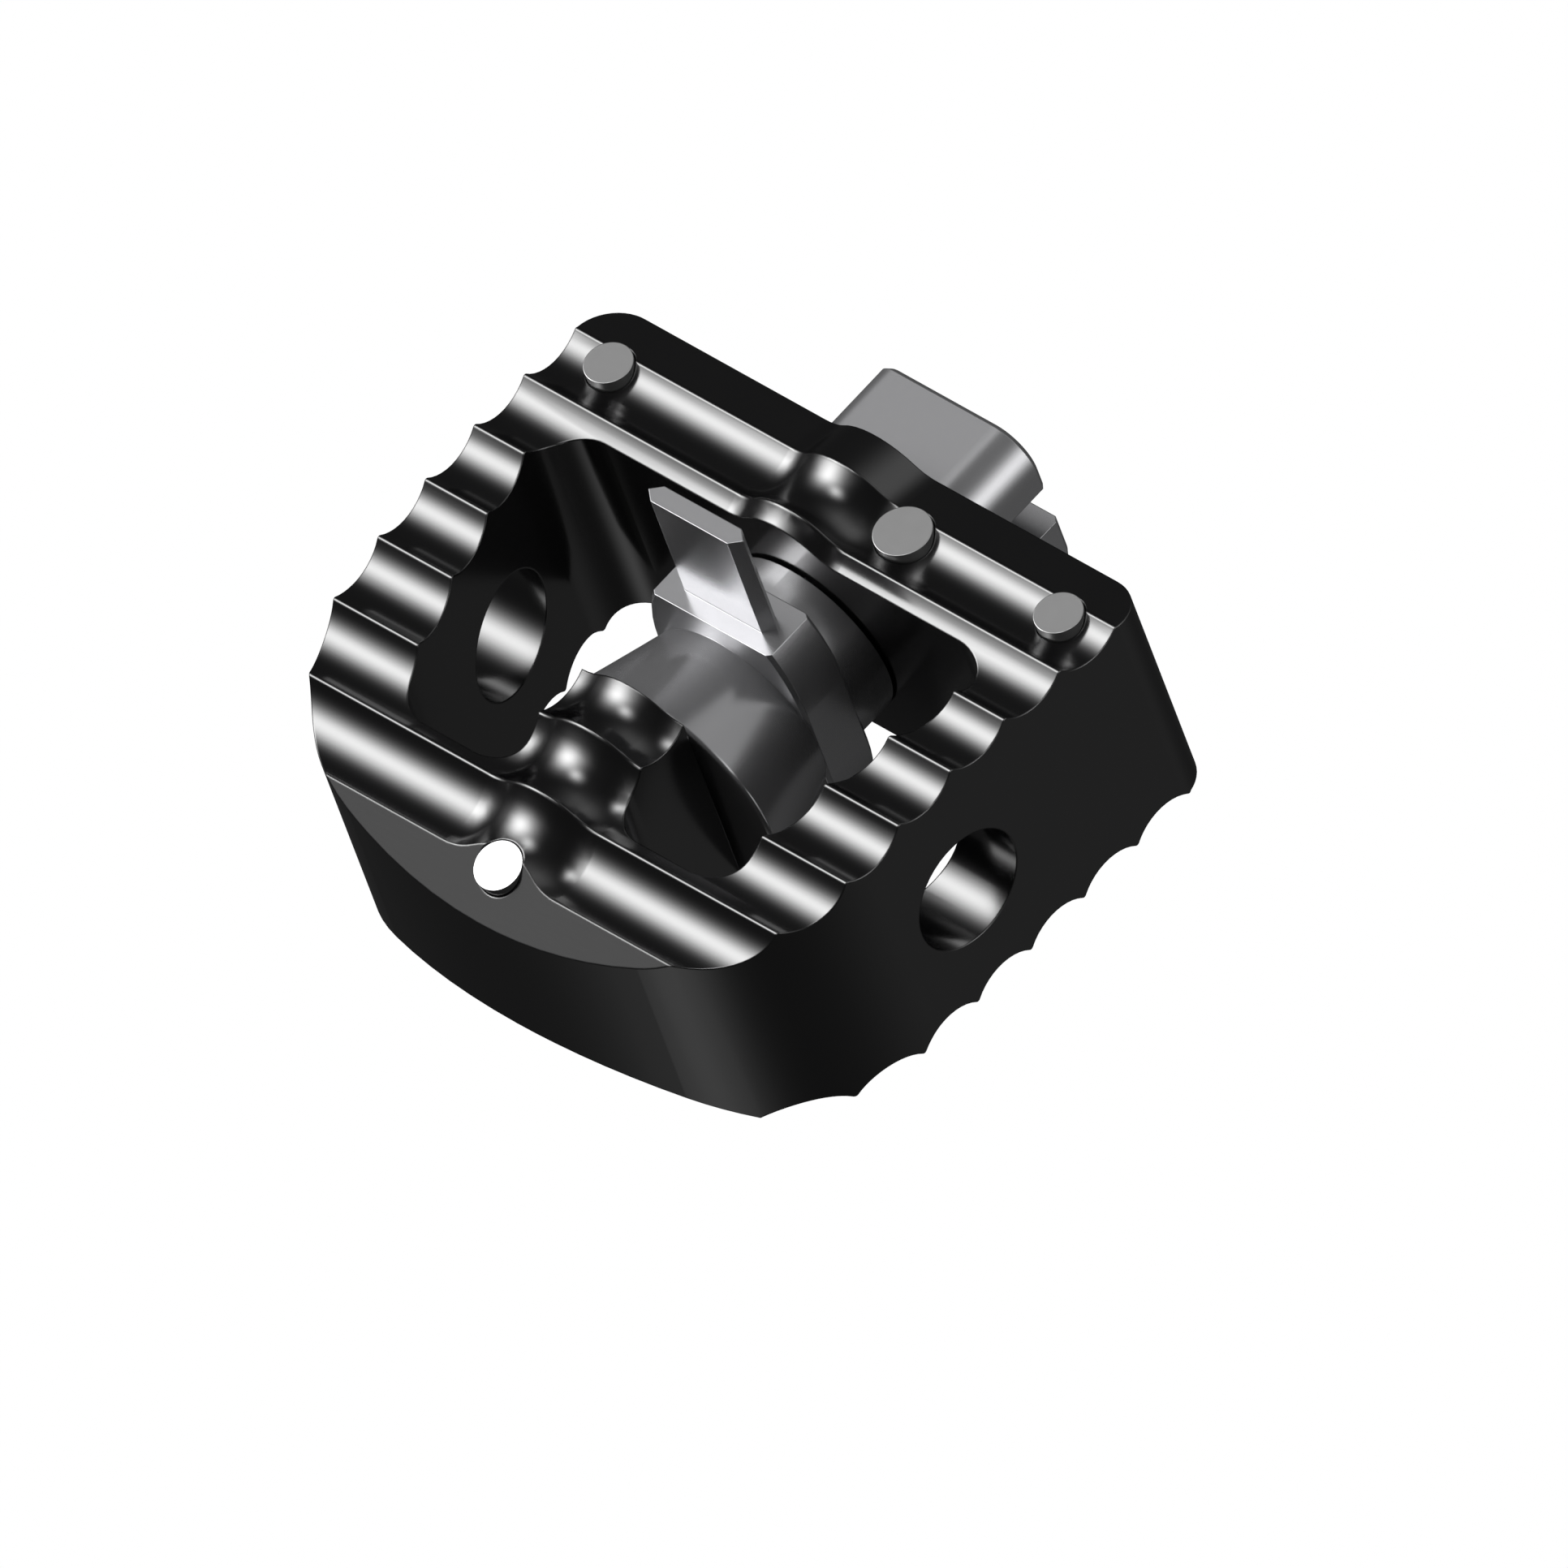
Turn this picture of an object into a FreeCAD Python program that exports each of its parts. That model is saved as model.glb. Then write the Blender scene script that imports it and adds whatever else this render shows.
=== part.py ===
import FreeCAD
import Part

import math
import os

os.makedirs("parts", exist_ok=True)

V = FreeCAD.Vector

# Spinal interbody cage with a turning anchor blade.
# Frame: X across the cage, +Y towards the drive head, +Z up.
# The origin is on the rotor's axis, midway between the nose and the head's end.

# Heights of the cage, measured from the plane of its lower ridges
axis_height = 2.70
bottom_z = -axis_height
dome_radius = 20.7
dome_apex_y = 0.085
dome_apex_height = 5.82

# Plan of the cage
rear_face_y = 5.18
nose_y = -7.14
rear_half_width = 7.14
side_taper = 0.042
nose_radius = 13.3
nose_corner_radius = 4.2
rear_corner_radius = 0.88

# Ridges and the grooves between them
ridge_pitch = 1.5
first_ridge_inset = 0.97
first_ridge_y = rear_face_y - first_ridge_inset
last_ridge_room = 0.60
ridge_count = int((first_ridge_y - nose_y - last_ridge_room) / ridge_pitch) + 1
lower_ridge_shift = 0.23
groove_depth = 0.30
ridge_tip_width = 0.09

# Front facets
facet_slope = 40.0
facet_ridges = 3
nose_chamfer_height = 0.98
nose_chamfer_length = 1.25

# Raised rib over the shaft
rib_half_width = 1.45
rib_crown_radius = 1.6
rear_rib_height = 0.47
front_rib_height = 0.40
rib_split_ridge = 3

# Graft window and the tongue that carries the front bearing
rear_wall = 2.83
front_wall = 2.65
side_wall = 1.20
window_rear_y = rear_face_y - rear_wall
window_front_y = nose_y + front_wall
window_rear_half_width = rear_half_width - side_wall
window_taper = 0.25
window_corner_radius = 1.0
tongue_half_width = 1.34
tongue_end_y = -2.05
tongue_root_radius = 0.8

# Cross holes for the holding tool
side_hole_radius = 1.30
side_hole_y = -0.89
side_hole_height = 2.75

# Rotor
hub_front_y = 0.16
hub_thickness = 1.20
hub_half_height = 2.60
hub_flat_half_width = 1.55
hub_half_width = 1.97
hub_shoulder_height = 1.00
hub_edge_chamfer = 0.08
blade_tip_reach = 5.37
blade_half_width = 1.25
blade_half_thickness = 0.21
blade_bevel = 0.24
cone_root_radius = 2.09
cone_rim_radius = 2.66
collar_radius = 1.97
cone_rim_rounding = 0.08
rotor_front_gap = 0.10
rotor_rear_gap = 0.06

# Shaft with its slotted head
journal_radius = 1.42
key_across_flats = 1.90
pivot_radius = 0.85
pivot_length = 2.20
bearing_clearance = 0.03
key_clearance = 0.01
shoulder_gap = 0.02
pivot_end_gap = 0.10
head_width = 3.94
head_height = 3.80
head_length = 1.86
head_gap = 0.10
head_large_radius = 0.90
head_small_radius = 0.48
head_end_chamfer = 0.10
slot_height = 1.03
slot_depth = 1.40

# X-ray marker pins
outer_marker_length = 3.0
middle_marker_length = 1.6
front_marker_length = 3.0
marker_clearance = 0.02
outer_marker_radius = 0.50
outer_marker_side_inset = 1.22
outer_marker_rear_inset = 1.31
outer_marker_x = rear_half_width - outer_marker_side_inset
outer_marker_y = rear_face_y - outer_marker_rear_inset
middle_marker_radius = 0.60
middle_marker_x = 1.90
middle_marker_rear_inset = 1.40
middle_marker_y = rear_face_y - middle_marker_rear_inset
rear_marker_height = 5.47
front_marker_radius = 0.52
front_marker_inset = 0.88
front_marker_y = nose_y + front_marker_inset
front_marker_tilt = 18.0
front_marker_height = 4.93

# Reach of the cutting and joining shapes beyond the surfaces they work on
clear = 1.0
tall = 2 * dome_apex_height
cover_overlap = 1.0

# Edges are picked by their ends: how near counts as the same place, and the least height of a wall
same_place = 0.01
least_wall = 1.0

# Steps that find where the side meets the nose
corner_steps = 20


def dome_height(y):
    """Height of the ridge line above the bottom plane."""
    rise = dome_radius - math.sqrt(dome_radius**2 - (y - dome_apex_y)**2)
    return dome_apex_height - rise


def ridge_y(index, shift=0.0):
    return first_ridge_y - ridge_pitch * index + shift


def arc(first, middle, last):
    return Part.Arc(first, middle, last).toShape()


def tip_ends(tip, depth):
    """Rear and front end of a ridge's rounded tip, which runs smoothly into the hollows."""
    half = ridge_tip_width / 2
    drop = ridge_tip_width * depth / (ridge_pitch - ridge_tip_width)
    return tip + V(0, half, -drop), tip - V(0, half, drop)


def grooved_edges(tips, depth):
    """Edges along a row of ridges, with a hollow of the given depth between each pair."""
    edges = []
    for index, tip in enumerate(tips):
        rear, front = tip_ends(tip, depth)
        edges.append(arc(rear, tip, front))
        if index + 1 < len(tips):
            end, _ = tip_ends(tips[index + 1], depth)
            middle = (front + end) * 0.5 - V(0, 0, depth)
            edges.append(arc(front, middle, end))
    return edges


def top_tips():
    return [V(0, ridge_y(i), bottom_z + dome_height(ridge_y(i))) for i in range(ridge_count)]


def facet_z(y):
    """Top of the sloping front facet at y."""
    last = top_tips()[-1]
    return last.z - (last.y - y) * math.tan(math.radians(facet_slope))


def cover_profile(floor_z):
    """Side view of the cage from floor_z up to its ridged top."""
    tips = top_tips()
    rear_top = V(0, rear_face_y, bottom_z + dome_height(rear_face_y))
    nose_top = V(0, nose_y, facet_z(nose_y))
    first, _ = tip_ends(tips[0], groove_depth)
    _, last = tip_ends(tips[-1], groove_depth)
    edges = [Part.makeLine(rear_top, first)]
    edges += grooved_edges(tips, groove_depth)
    edges.append(Part.makeLine(last, nose_top))
    edges.append(Part.makeLine(nose_top, V(0, nose_y, floor_z)))
    edges.append(Part.makeLine(V(0, nose_y, floor_z), V(0, rear_face_y, floor_z)))
    edges.append(Part.makeLine(V(0, rear_face_y, floor_z), rear_top))
    return Part.Wire(edges)


def base_profile(ceiling_z):
    """Side view of the cage's lower half, with its ridged underside."""
    tips = [V(0, ridge_y(i, lower_ridge_shift), bottom_z) for i in range(ridge_count)]
    first, _ = tip_ends(tips[0], -groove_depth)
    _, last = tip_ends(tips[-1], -groove_depth)
    nose_low = V(0, nose_y, bottom_z)
    edges = [Part.makeLine(V(0, rear_face_y, bottom_z), first)]
    edges += grooved_edges(tips, -groove_depth)
    edges.append(Part.makeLine(last, nose_low))
    edges.append(Part.makeLine(nose_low, V(0, nose_y, ceiling_z)))
    edges.append(Part.makeLine(V(0, nose_y, ceiling_z), V(0, rear_face_y, ceiling_z)))
    edges.append(Part.makeLine(V(0, rear_face_y, ceiling_z), V(0, rear_face_y, bottom_z)))
    return Part.Wire(edges)


def slab(wire, x_from, x_to):
    face = Part.Face(wire)
    face.translate(V(x_from, 0, 0))
    return face.extrude(V(x_to - x_from, 0, 0))


def rib_path(height):
    """Bell line across the rib: a round crown with a hollow blend to each side."""
    crown_share = rib_crown_radius / (rib_crown_radius + blend_radius(height))
    join_x = rib_half_width * crown_share
    join_z = height - (rib_crown_radius - math.sqrt(rib_crown_radius**2 - join_x**2))
    angle = math.asin(join_x / rib_crown_radius)
    blend = blend_radius(height)
    half = angle / 2
    low = V(-rib_half_width + blend * math.sin(half), 0, blend * (1 - math.cos(half)))
    crown = V(0, 0, height)
    left = arc(V(-rib_half_width, 0, 0), low, V(-join_x, 0, join_z))
    top = arc(V(-join_x, 0, join_z), crown, V(join_x, 0, join_z))
    right = arc(V(join_x, 0, join_z), V(-low.x, 0, low.z), V(rib_half_width, 0, 0))
    return Part.Wire([left, top, right])


def blend_radius(height):
    """Radius of the hollow blends that meet the crown and the flat at a tangent."""
    return (rib_half_width**2 + height**2) / (2 * height) - rib_crown_radius


def ribbed_middle(height, y_from, y_to):
    """Middle of the cage's cover, its ridged top carried over the rib."""
    wire = cover_profile(bottom_z + nose_chamfer_height)
    wire.translate(V(-rib_half_width, 0, 0))
    sweep = Part.BRepOffsetAPI.MakePipeShell(rib_path(height))
    sweep.setTrihedronMode(V(0, 0, 0), V(0, 1, 0))
    sweep.setTransitionMode(0)
    sweep.add(wire)
    sweep.build()
    sweep.makeSolid()
    solid = sweep.shape()
    reach = 2 * rib_half_width
    keep = Part.makeBox(reach, y_to - y_from, 2 * tall, V(-rib_half_width, y_from, -tall))
    return solid.common(keep)


def plan_prism():
    """Outline of the cage seen from above, as a tall block."""
    centre_y = nose_y + nose_radius
    rear_x = rear_half_width
    slope = side_taper

    def side_x(y):
        return rear_x - slope * (rear_face_y - y)

    corner_y = nose_y
    for _ in range(corner_steps):
        corner_y = centre_y - math.sqrt(nose_radius**2 - side_x(corner_y)**2)
    corner_x = side_x(corner_y)
    right_rear = V(rear_x, rear_face_y, -tall)
    left_rear = V(-rear_x, rear_face_y, -tall)
    right_front = V(corner_x, corner_y, -tall)
    left_front = V(-corner_x, corner_y, -tall)
    edges = [
        Part.makeLine(left_rear, right_rear),
        Part.makeLine(right_rear, right_front),
        arc(right_front, V(0, nose_y, -tall), left_front),
        Part.makeLine(left_front, left_rear),
    ]
    block = Part.Face(Part.Wire(edges)).extrude(V(0, 0, 2 * tall))
    rear = upright_edges(block, lambda p: p.y > rear_face_y - same_place)
    block = block.makeFillet(rear_corner_radius, rear)
    front = upright_edges(block, lambda p: abs(p.y - corner_y) < same_place)
    return block.makeFillet(nose_corner_radius, front)


def upright_edges(shape, wanted):
    found = []
    for edge in shape.Edges:
        first = edge.Vertexes[0].Point
        last = edge.Vertexes[-1].Point
        level = math.hypot(first.x - last.x, first.y - last.y)
        height = abs(first.z - last.z)
        if level < same_place and height > least_wall and wanted(first):
            found.append(edge)
    return found


def window_prism():
    """The window goes through from top to bottom, round three sides of the tongue."""
    rear = window_rear_half_width
    front = rear - window_taper * (window_rear_y - window_front_y)
    tongue = tongue_half_width
    corners = [
        (rear, window_rear_y), (-rear, window_rear_y),
        (-front, window_front_y), (-tongue, window_front_y),
        (-tongue, tongue_end_y), (tongue, tongue_end_y),
        (tongue, window_front_y), (front, window_front_y),
    ]
    block = straight_block([V(x, y, -tall) for x, y in corners], V(0, 0, 2 * tall))
    outer = upright_edges(block, lambda p: abs(p.x) > tongue + same_place)
    block = block.makeFillet(window_corner_radius, outer)

    def at_root(point):
        beside = abs(abs(point.x) - tongue) < same_place
        return beside and point.y < window_front_y + same_place

    return block.makeFillet(tongue_root_radius, upright_edges(block, at_root))


def straight_block(points, push):
    wire = Part.makePolygon(points + points[:1])
    return Part.Face(wire).extrude(push)


def facet_cutter():
    """Everything above the sloping front facet, which the rib doesn't raise."""
    x = -rear_half_width - clear
    behind_y = ridge_y(ridge_count - facet_ridges)
    front_y = nose_y - clear
    return straight_block([
        V(x, behind_y, facet_z(behind_y)), V(x, front_y, facet_z(front_y)),
        V(x, front_y, tall), V(x, behind_y, tall),
    ], V(-2 * x, 0, 0))


def nose_chamfer_cutter():
    """The slope under the nose."""
    x = -rear_half_width - clear
    rise = nose_chamfer_height / nose_chamfer_length
    low = V(x, nose_y + nose_chamfer_length, bottom_z)
    beneath = low + V(0, clear, -clear * rise)
    front = low + V(0, -1, rise) * (nose_chamfer_length + clear)
    return straight_block([beneath, front, V(x, front.y, beneath.z)], V(-2 * x, 0, 0))


def cylinder_y(radius, y_from, y_to):
    return Part.makeCylinder(radius, y_to - y_from, V(0, y_from, 0), V(0, 1, 0))


def front_marker_axis():
    tilt = math.radians(front_marker_tilt)
    return V(0, -math.sin(tilt), math.cos(tilt))


def marker_places():
    """Name, top centre, axis, radius and length of each marker pin."""
    rear_z = bottom_z + rear_marker_height
    up = V(0, 0, 1)
    tilt = front_marker_axis()
    front_top = V(0, front_marker_y, bottom_z + front_marker_height)
    return [
        ("left_rear_marker", V(-outer_marker_x, outer_marker_y, rear_z), up,
         outer_marker_radius, outer_marker_length),
        ("right_rear_marker", V(outer_marker_x, outer_marker_y, rear_z), up,
         outer_marker_radius, outer_marker_length),
        ("middle_rear_marker", V(middle_marker_x, middle_marker_y, rear_z), up,
         middle_marker_radius, middle_marker_length),
        ("front_marker", front_top, tilt, front_marker_radius, front_marker_length),
    ]


def cage_body():
    x_side = rear_half_width + clear
    cover = cover_profile(bottom_z + nose_chamfer_height)
    base = base_profile(bottom_z + nose_chamfer_height + cover_overlap)
    split_y = ridge_y(rib_split_ridge)
    pieces = [
        slab(cover, -x_side, -rib_half_width),
        slab(cover, rib_half_width, x_side),
        ribbed_middle(rear_rib_height, split_y, rear_face_y),
        ribbed_middle(front_rib_height, nose_y, split_y),
    ]
    block = slab(base, -x_side, x_side).fuse(pieces)
    block = block.cut([facet_cutter(), nose_chamfer_cutter()])
    block = block.common(plan_prism())
    block = block.cut(window_prism())
    hole = Part.makeCylinder(
        side_hole_radius, 2 * x_side,
        V(-x_side, side_hole_y, bottom_z + side_hole_height), V(1, 0, 0))
    inner_x = tongue_half_width + clear / 2
    hole_stop = Part.makeBox(2 * inner_x, 2 * tall, 2 * tall, V(-inner_x, -tall, -tall))
    block = block.cut(hole.cut(hole_stop))
    bore = cylinder_y(
        journal_radius + bearing_clearance, window_rear_y - clear, rear_face_y + clear)
    pivot_y = tongue_end_y - pivot_length
    pivot = cylinder_y(pivot_radius + bearing_clearance, pivot_y, tongue_end_y + clear)
    block = block.cut([bore, pivot])
    for name, top, axis, radius, length in marker_places():
        depth = length + marker_clearance
        seat = Part.makeCylinder(
            radius + marker_clearance, depth + clear, top - axis * depth, axis)
        block = block.cut(seat)
    return block.removeSplitter()


def blade_section():
    """Six-sided section: flat faces front and rear, a point at each side."""
    flat = blade_half_width - blade_bevel
    y = hub_front_y + hub_thickness / 2
    thick = blade_half_thickness
    corners = [
        (blade_half_width, 0), (flat, thick), (-flat, thick),
        (-blade_half_width, 0), (-flat, -thick), (flat, -thick),
    ]
    points = [V(x, y + dy, 0) for x, dy in corners]
    return Part.makePolygon(points + points[:1])


def hub_block():
    """Flat above and below, with upright sides that turn in round shoulders to the flats."""
    flat = hub_flat_half_width
    wide = hub_half_width
    top = hub_half_height
    low = hub_shoulder_height
    y = hub_front_y
    radius = ((wide - flat)**2 + (top - low)**2) / (2 * (wide - flat))
    turn = math.asin((top - low) / radius) / 2
    bend_x = wide - radius * (1 - math.cos(turn))
    bend_z = low + radius * math.sin(turn)
    edges = []
    for side in (1, -1):
        edges.append(Part.makeLine(V(-flat, y, side * top), V(flat, y, side * top)))
        edges.append(Part.makeLine(V(side * wide, y, low), V(side * wide, y, -low)))
        for end in (1, -1):
            edges.append(arc(V(side * flat, y, end * top), V(side * bend_x, y, end * bend_z),
                             V(side * wide, y, end * low)))
    wire = Part.Wire(Part.__sortEdges__(edges))
    block = Part.Face(wire).extrude(V(0, hub_thickness, 0))

    def on_shoulder(edge):
        return isinstance(edge.Curve, Part.Circle)

    return block.makeChamfer(hub_edge_chamfer, [e for e in block.Edges if on_shoulder(e)])


def front_cone():
    """Cone that widens from the hub to the tongue, with a rounded rim."""
    rim_y = tongue_end_y + rotor_front_gap
    cone = Part.makeCone(
        cone_root_radius, cone_rim_radius, hub_front_y - rim_y, V(0, hub_front_y, 0), V(0, -1, 0))

    def at_rim(edge):
        return isinstance(edge.Curve, Part.Circle) and abs(edge.Curve.Center.y - rim_y) < same_place

    return cone.makeFillet(cone_rim_rounding, [e for e in cone.Edges if at_rim(e)])


def anchor_blade():
    """One metal piece: hub, cone, collar and a blade above and below."""
    middle_y = hub_front_y + hub_thickness / 2
    upper = Part.Face(blade_section()).extrude(V(0, 0, blade_tip_reach))
    lower = upper.copy()
    lower.rotate(V(0, middle_y, 0), V(0, 1, 0), 180)
    collar = cylinder_y(collar_radius, middle_y, window_rear_y - rotor_rear_gap)
    rotor = hub_block().fuse([upper, lower, front_cone(), collar])
    side = key_across_flats + 2 * key_clearance
    key_way = Part.makeBox(side, 2 * tall, side, V(-side / 2, -tall, -side / 2))
    return rotor.cut(key_way).removeSplitter()


def drive_head():
    """Square head, two of its corners well rounded, with a driver slot across its end."""
    face_y = rear_face_y + head_gap
    block = Part.makeBox(
        head_width, head_length, head_height, V(-head_width / 2, face_y, -head_height / 2))

    def corners(same_sign):
        found = []
        for edge in block.Edges:
            first = edge.Vertexes[0].Point
            last = edge.Vertexes[-1].Point
            if abs(first.y - last.y) > same_place and (first.x * first.z > 0) == same_sign:
                found.append(edge)
        return found

    block = block.makeFillet(head_large_radius, corners(True))
    block = block.makeFillet(head_small_radius, corners(False))
    end_y = face_y + head_length
    rim = [edge for edge in block.Edges
           if all(abs(vertex.Point.y - end_y) < same_place for vertex in edge.Vertexes)]
    block = block.makeChamfer(head_end_chamfer, rim)
    slot = Part.makeBox(
        head_width + 2 * clear, slot_depth + clear, slot_height,
        V(-head_width / 2 - clear, end_y - slot_depth, -slot_height / 2))
    return block.cut(slot)


def drive_shaft():
    """Head, rear journal, square key through the hub and front pivot, in one piece."""
    shoulder_y = window_rear_y - rotor_rear_gap + shoulder_gap
    key_start_y = tongue_end_y + rotor_front_gap
    journal = cylinder_y(journal_radius, shoulder_y, rear_face_y + head_gap)
    key = Part.makeBox(
        key_across_flats, shoulder_y - key_start_y, key_across_flats,
        V(-key_across_flats / 2, key_start_y, -key_across_flats / 2))
    pivot_tip_y = tongue_end_y - pivot_length + pivot_end_gap
    pivot = cylinder_y(pivot_radius, pivot_tip_y, key_start_y)
    return drive_head().fuse([journal, key, pivot]).removeSplitter()


def export(name, shape):
    if not shape.isValid():
        print(name, "is not valid")
    box = shape.BoundBox
    print(name, len(shape.Solids), "solid", round(shape.Volume, 3), "cubic mm",
          round(box.XLength, 2), round(box.YLength, 2), round(box.ZLength, 2))
    shape.exportStep("parts/" + name + ".step")


export("cage_body", cage_body().Solids[0])
export("anchor_blade", anchor_blade().Solids[0])
export("drive_shaft", drive_shaft().Solids[0])
for marker_name, marker_top, marker_axis, marker_radius, marker_length in marker_places():
    foot = marker_top - marker_axis * marker_length
    export(marker_name, Part.makeCylinder(marker_radius, marker_length, foot, marker_axis))
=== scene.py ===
import bpy
from mathutils import Matrix, Vector

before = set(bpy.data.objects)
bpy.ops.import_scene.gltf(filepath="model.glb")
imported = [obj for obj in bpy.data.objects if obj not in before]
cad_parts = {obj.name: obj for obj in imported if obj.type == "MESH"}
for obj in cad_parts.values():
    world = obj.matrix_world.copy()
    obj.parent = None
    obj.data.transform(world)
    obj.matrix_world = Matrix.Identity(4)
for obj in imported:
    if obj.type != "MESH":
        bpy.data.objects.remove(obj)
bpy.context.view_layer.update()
mm = 0.001
white = (1.0, 1.0, 1.0, 1.0)

# the photo's view, a parallel one; lengths in mm
cameraSet = {
    "right": (0.7262, 0.6451, -0.2376),
    "up": (-0.4034, 0.6798, 0.6125),
    "back": (0.5566, -0.3490, 0.7539),
    "lookAt": (1.193, -0.323, -1.030),
    "widthSeen": 29.953,
    "distance": 200.0,
    "nearest": 10.0,
    "farthest": 2000.0,
}

# round softboxes with edges that fade out, in a dim room: the broad one over the left shoulder,
# a small one overhead, one low on the right, a weak one behind and two faint ones from below
studioSet = {
    "softboxes": (
        {"towards": (-0.667, -0.220, 0.712), "tightness": 20.0, "strength": 7.2},
        {"towards": (-0.28, 0.09, 0.955), "tightness": 80.0, "strength": 4.0},
        {"towards": (0.90, 0.36, 0.22), "tightness": 14.0, "strength": 2.0},
        {"towards": (0.25, 0.77, 0.58), "tightness": 12.0, "strength": 0.4},
        {"towards": (-0.05, -0.655, -0.754), "tightness": 30.0, "strength": 0.25},
        {"towards": (0.56, 0.35, -0.754), "tightness": 12.0, "strength": 0.05},
    ),
    "room": 0.02,
    "pageSeen": 1.0,       # the white page round the object, as the eye sees it
    "pageMirrored": 0.01,  # as gloss and glass see it
}

bodySet = {
    "edge": 0.05,          # mm, the fine radius on every ridge and rim
    "colour": "#060607",
    "ior": 1.75,
    "gloss": 1.0,
    "roughness": 0.17,
    "unevenness": 0.02,    # of the roughness, up and down
    "patch": 2.2,          # mm across one patch of even roughness
    "patchDetail": 3.0,
    "lay": 0.06,           # mm between the cutter's fine marks
    "layScale": (0.12, 1.0, 1.0),  # drawn out along the ridges
    "layDetail": 2.0,
    "layDepth": 0.004,     # mm
    "layStrength": 0.05,
}

rotorSet = {
    "edge": 0.025,
    "colour": "#c2c2c4",
    "metallic": 0.75,
    "roughness": 0.24,
    "unevenness": 0.02,
    "lay": 0.05,
    "layScale": (1.0, 0.15, 1.0),  # drawn out along the rotor's axis
    "layDetail": 2.0,
    "layDepth": 0.004,
    "layStrength": 0.08,
}

markerSet = {
    "edge": 0.02,
    "colour": "#c8c8c8",
    "metallic": 0.85,
    "roughness": 0.22,
    "unevenness": 0.02,
    "patch": 0.25,
    "patchDetail": 3.0,
}

evenly = (1.0, 1.0, 1.0)
edgeSamples = 8
markerNames = ("left_rear_marker", "right_rear_marker", "middle_rear_marker", "front_marker")


def toLinear(hexColour):
    # the sRGB curve, from a written colour to the light that the shaders work in
    parts = [int(hexColour[i:i + 2], 16) / 255 for i in (1, 3, 5)]
    return [c / 12.92 if c <= 0.04045 else ((c + 0.055) / 1.055) ** 2.4 for c in parts] + [1.0]


def addNode(tree, kind, settings=None, links=None):
    # a word names a setting or a socket, a number is a socket's place
    node = tree.nodes.new(kind)
    for key, value in (settings or {}).items():
        if isinstance(key, str) and hasattr(node, key):
            setattr(node, key, value)
        else:
            node.inputs[key].default_value = value
    for socket, source in (links or {}).items():
        tree.links.new(source, node.inputs[socket])
    return node


def newMaterial(name):
    material = bpy.data.materials.new(name)
    material.use_nodes = True
    material.node_tree.nodes.clear()
    return material, material.node_tree


def noise(tree, size, detail, scale):
    # in Object coordinates, with grains of the given size in mm
    place = addNode(tree, "ShaderNodeTexCoord")
    drawn = addNode(tree, "ShaderNodeMapping", {"Scale": scale},
                    {"Vector": place.outputs["Object"]})
    return addNode(tree, "ShaderNodeTexNoise", {"Scale": 1 / (size * mm), "Detail": detail},
                   {"Vector": drawn.outputs["Vector"]}).outputs["Fac"]


def patches(tree, settings):
    return noise(tree, settings["patch"], settings["patchDetail"], evenly)


def cutterMarks(tree, settings):
    return noise(tree, settings["lay"], settings["layDetail"], settings["layScale"])


def unevenRoughness(tree, settings, pattern):
    low = settings["roughness"] - settings["unevenness"]
    high = settings["roughness"] + settings["unevenness"]
    return addNode(tree, "ShaderNodeMapRange", {"To Min": low, "To Max": high},
                   {"Value": pattern}).outputs["Result"]


def finelyRoundedEdges(tree, settings):
    # every cut edge is broken by a few hundredths of a millimetre, which draws thin bright lines
    return addNode(tree, "ShaderNodeBevel",
                   {"samples": edgeSamples, "Radius": settings["edge"] * mm}).outputs["Normal"]


def cutSurface(tree, settings, marks):
    edges = finelyRoundedEdges(tree, settings)
    return addNode(tree, "ShaderNodeBump",
                   {"Strength": settings["layStrength"], "Distance": settings["layDepth"] * mm},
                   {"Height": marks, "Normal": edges}).outputs["Normal"]


def coat(tree, look, roughness, normal):
    shader = addNode(tree, "ShaderNodeBsdfPrincipled", look,
                     {"Roughness": roughness, "Normal": normal})
    addNode(tree, "ShaderNodeOutputMaterial", None, {"Surface": shader.outputs["BSDF"]})


def machinedPolymer():
    # PEEK filled black, milled then tumbled: near black, glossy, with a faint lay along the ridges
    material, tree = newMaterial("milledBlackPeek")
    look = {
        "Base Color": toLinear(bodySet["colour"]),
        "IOR": bodySet["ior"],
        "Specular IOR Level": bodySet["gloss"],
    }
    roughness = unevenRoughness(tree, bodySet, patches(tree, bodySet))
    coat(tree, look, roughness, cutSurface(tree, bodySet, cutterMarks(tree, bodySet)))
    return material


def machinedTitanium():
    # titanium alloy, milled and blasted fine: mid grey, satin, with a lay along the rotor's axis
    material, tree = newMaterial("satinTitanium")
    look = {"Base Color": toLinear(rotorSet["colour"]), "Metallic": rotorSet["metallic"]}
    marks = cutterMarks(tree, rotorSet)
    roughness = unevenRoughness(tree, rotorSet, marks)
    coat(tree, look, roughness, cutSurface(tree, rotorSet, marks))
    return material


def cutTantalum():
    # tantalum wire, sheared flat and polished: a lighter grey than the rotor, softly uneven
    material, tree = newMaterial("polishedTantalum")
    look = {"Base Color": toLinear(markerSet["colour"]), "Metallic": markerSet["metallic"]}
    roughness = unevenRoughness(tree, markerSet, patches(tree, markerSet))
    coat(tree, look, roughness, finelyRoundedEdges(tree, markerSet))
    return material


def dress(nodeName, material):
    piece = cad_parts[nodeName]
    piece.data.materials.clear()
    piece.data.materials.append(material)


def mathNode(tree, operation, settings=None, links=None):
    chosen = {"operation": operation, **(settings or {})}
    return addNode(tree, "ShaderNodeMath", chosen, links).outputs["Value"]


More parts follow.
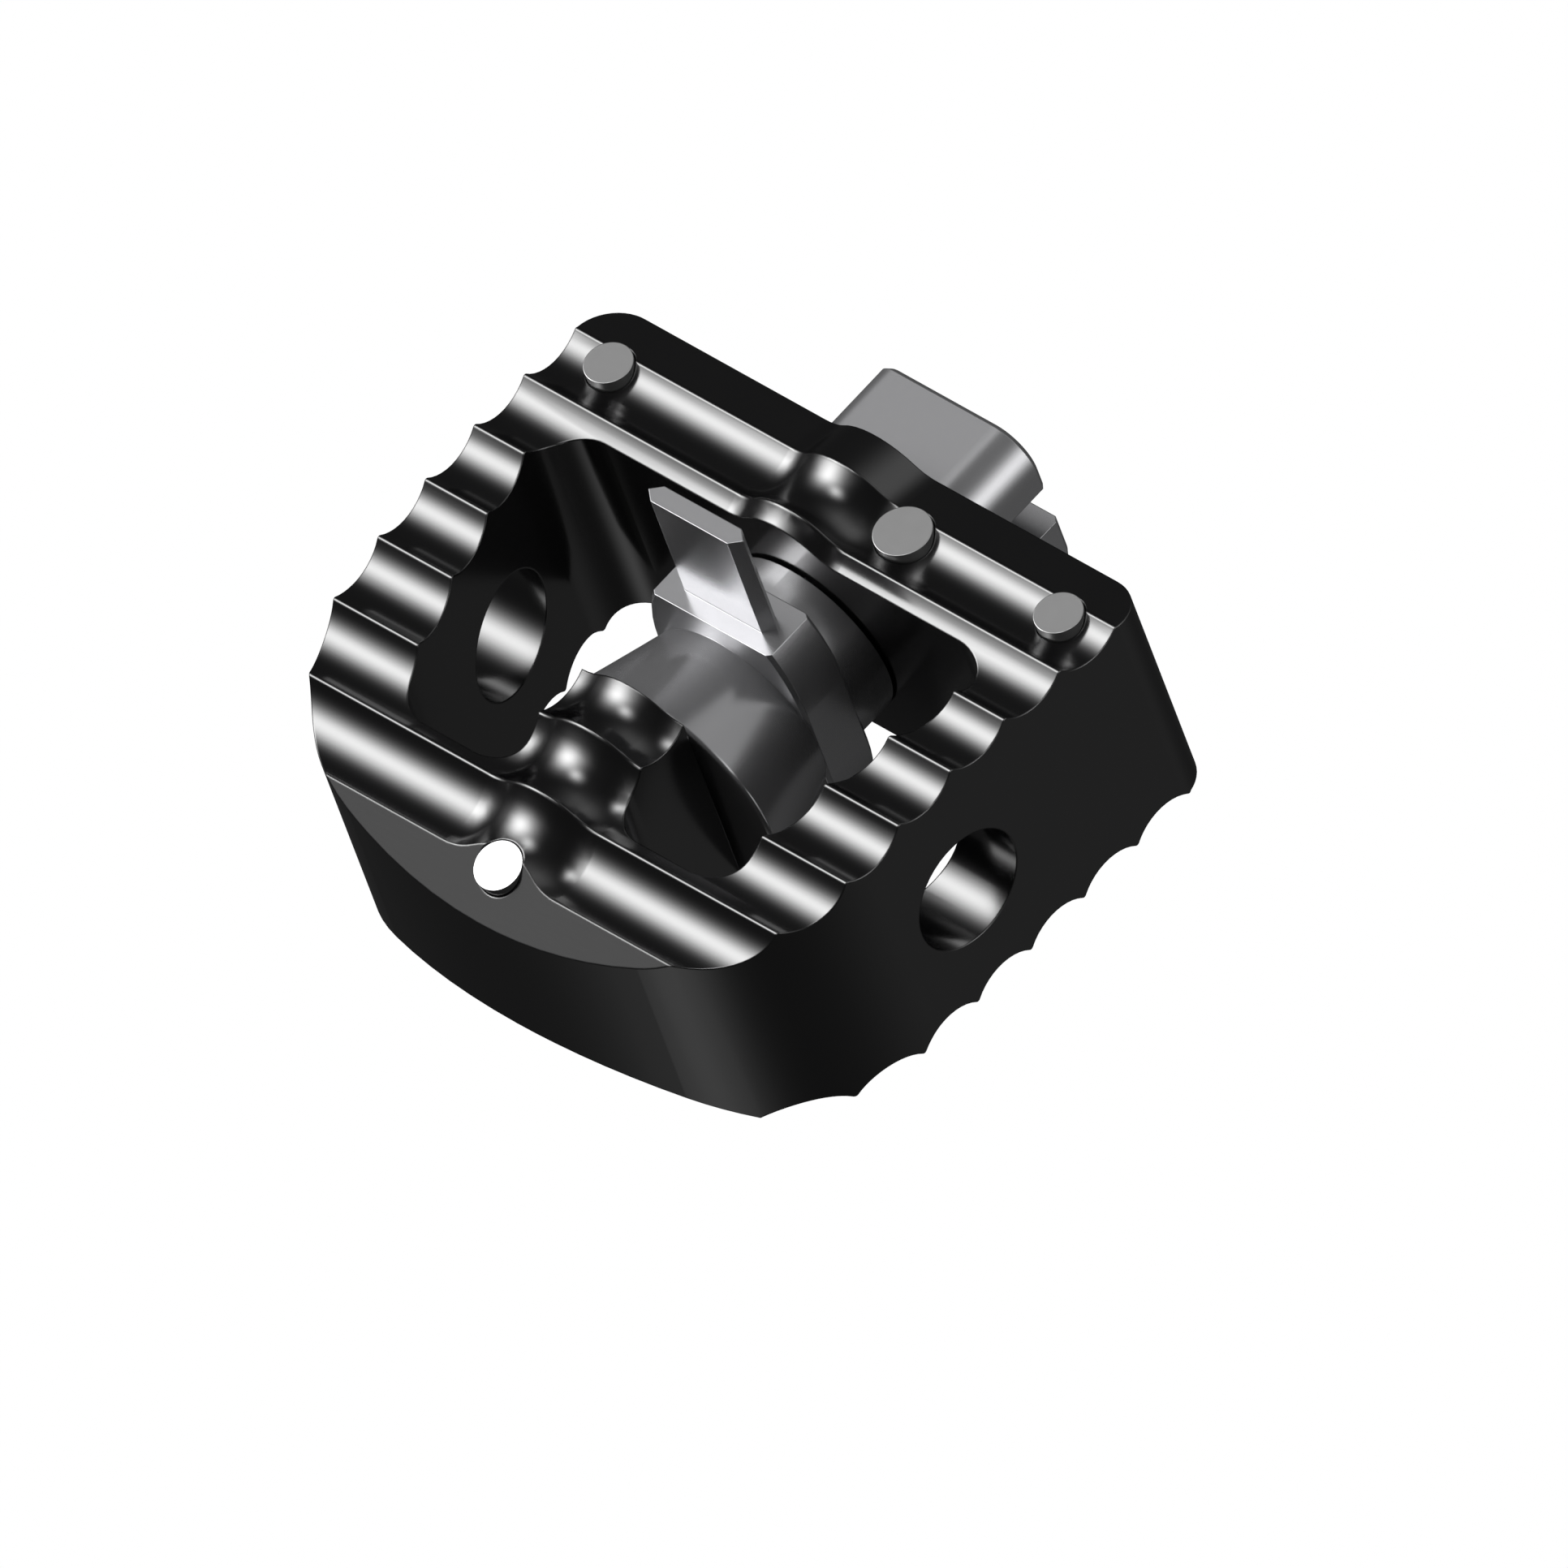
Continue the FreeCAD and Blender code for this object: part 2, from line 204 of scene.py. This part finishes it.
def softbox(tree, direction, settings):
    # brightest in its middle, fading like a bell with the angle from it
    tightness = settings["tightness"]
    towards = Vector(settings["towards"]).normalized()
    facing = addNode(tree, "ShaderNodeVectorMath", {"operation": "DOT_PRODUCT", 1: towards},
                     {0: direction.outputs["Vector"]}).outputs["Value"]
    fall = mathNode(tree, "MULTIPLY_ADD", {1: tightness, 2: -tightness}, {0: facing})
    bell = mathNode(tree, "EXPONENT", None, {0: fall})
    return mathNode(tree, "MULTIPLY", {1: settings["strength"]}, {0: bell})


def softStudio():
    # the page is white to the eye and dim to gloss and glass, as in the photo
    world = bpy.data.worlds.new("softStudio")
    bpy.context.scene.world = world
    world.use_nodes = True
    tree = world.node_tree
    tree.nodes.clear()
    place = addNode(tree, "ShaderNodeTexCoord")
    direction = addNode(tree, "ShaderNodeVectorMath", {"operation": "NORMALIZE"},
                        {0: place.outputs["Generated"]})
    rays = addNode(tree, "ShaderNodeLightPath").outputs
    gloss = mathNode(tree, "ADD", None, {0: rays["Is Glossy Ray"], 1: rays["Is Transmission Ray"]})
    light = mathNode(tree, "MULTIPLY_ADD",
                     {1: studioSet["pageMirrored"], 2: studioSet["room"]}, {0: gloss})
    for settings in studioSet["softboxes"]:
        light = mathNode(tree, "ADD", None, {0: light, 1: softbox(tree, direction, settings)})
    shown = addNode(tree, "ShaderNodeMix", {3: studioSet["pageSeen"]},
                    {0: rays["Is Camera Ray"], 2: light})
    air = addNode(tree, "ShaderNodeBackground", {"Color": white}, {"Strength": shown.outputs[0]})
    addNode(tree, "ShaderNodeOutputWorld", None, {"Surface": air.outputs["Background"]})


def photoCamera():
    lens = bpy.data.cameras.new("photoCamera")
    lens.type = "ORTHO"
    lens.ortho_scale = cameraSet["widthSeen"] * mm
    lens.clip_start = cameraSet["nearest"] * mm
    lens.clip_end = cameraSet["farthest"] * mm
    holder = bpy.data.objects.new("photoCamera", lens)
    right, up, back = (Vector(cameraSet[k]).normalized() for k in ("right", "up", "back"))
    turn = Matrix((right, up, back)).transposed()
    place = (Vector(cameraSet["lookAt"]) + back * cameraSet["distance"]) * mm
    holder.matrix_world = Matrix.Translation(place) @ turn.to_4x4()
    bpy.context.scene.collection.objects.link(holder)
    bpy.context.scene.camera = holder


polymer = machinedPolymer()
titanium = machinedTitanium()
tantalum = cutTantalum()
print("materials made")

dress("cage_body", polymer)
dress("anchor_blade", titanium)
dress("drive_shaft", titanium)
for markerName in markerNames:
    dress(markerName, tantalum)
print("nodes dressed")

softStudio()
photoCamera()
bpy.context.scene.view_settings.view_transform = "Standard"
print("studio set")
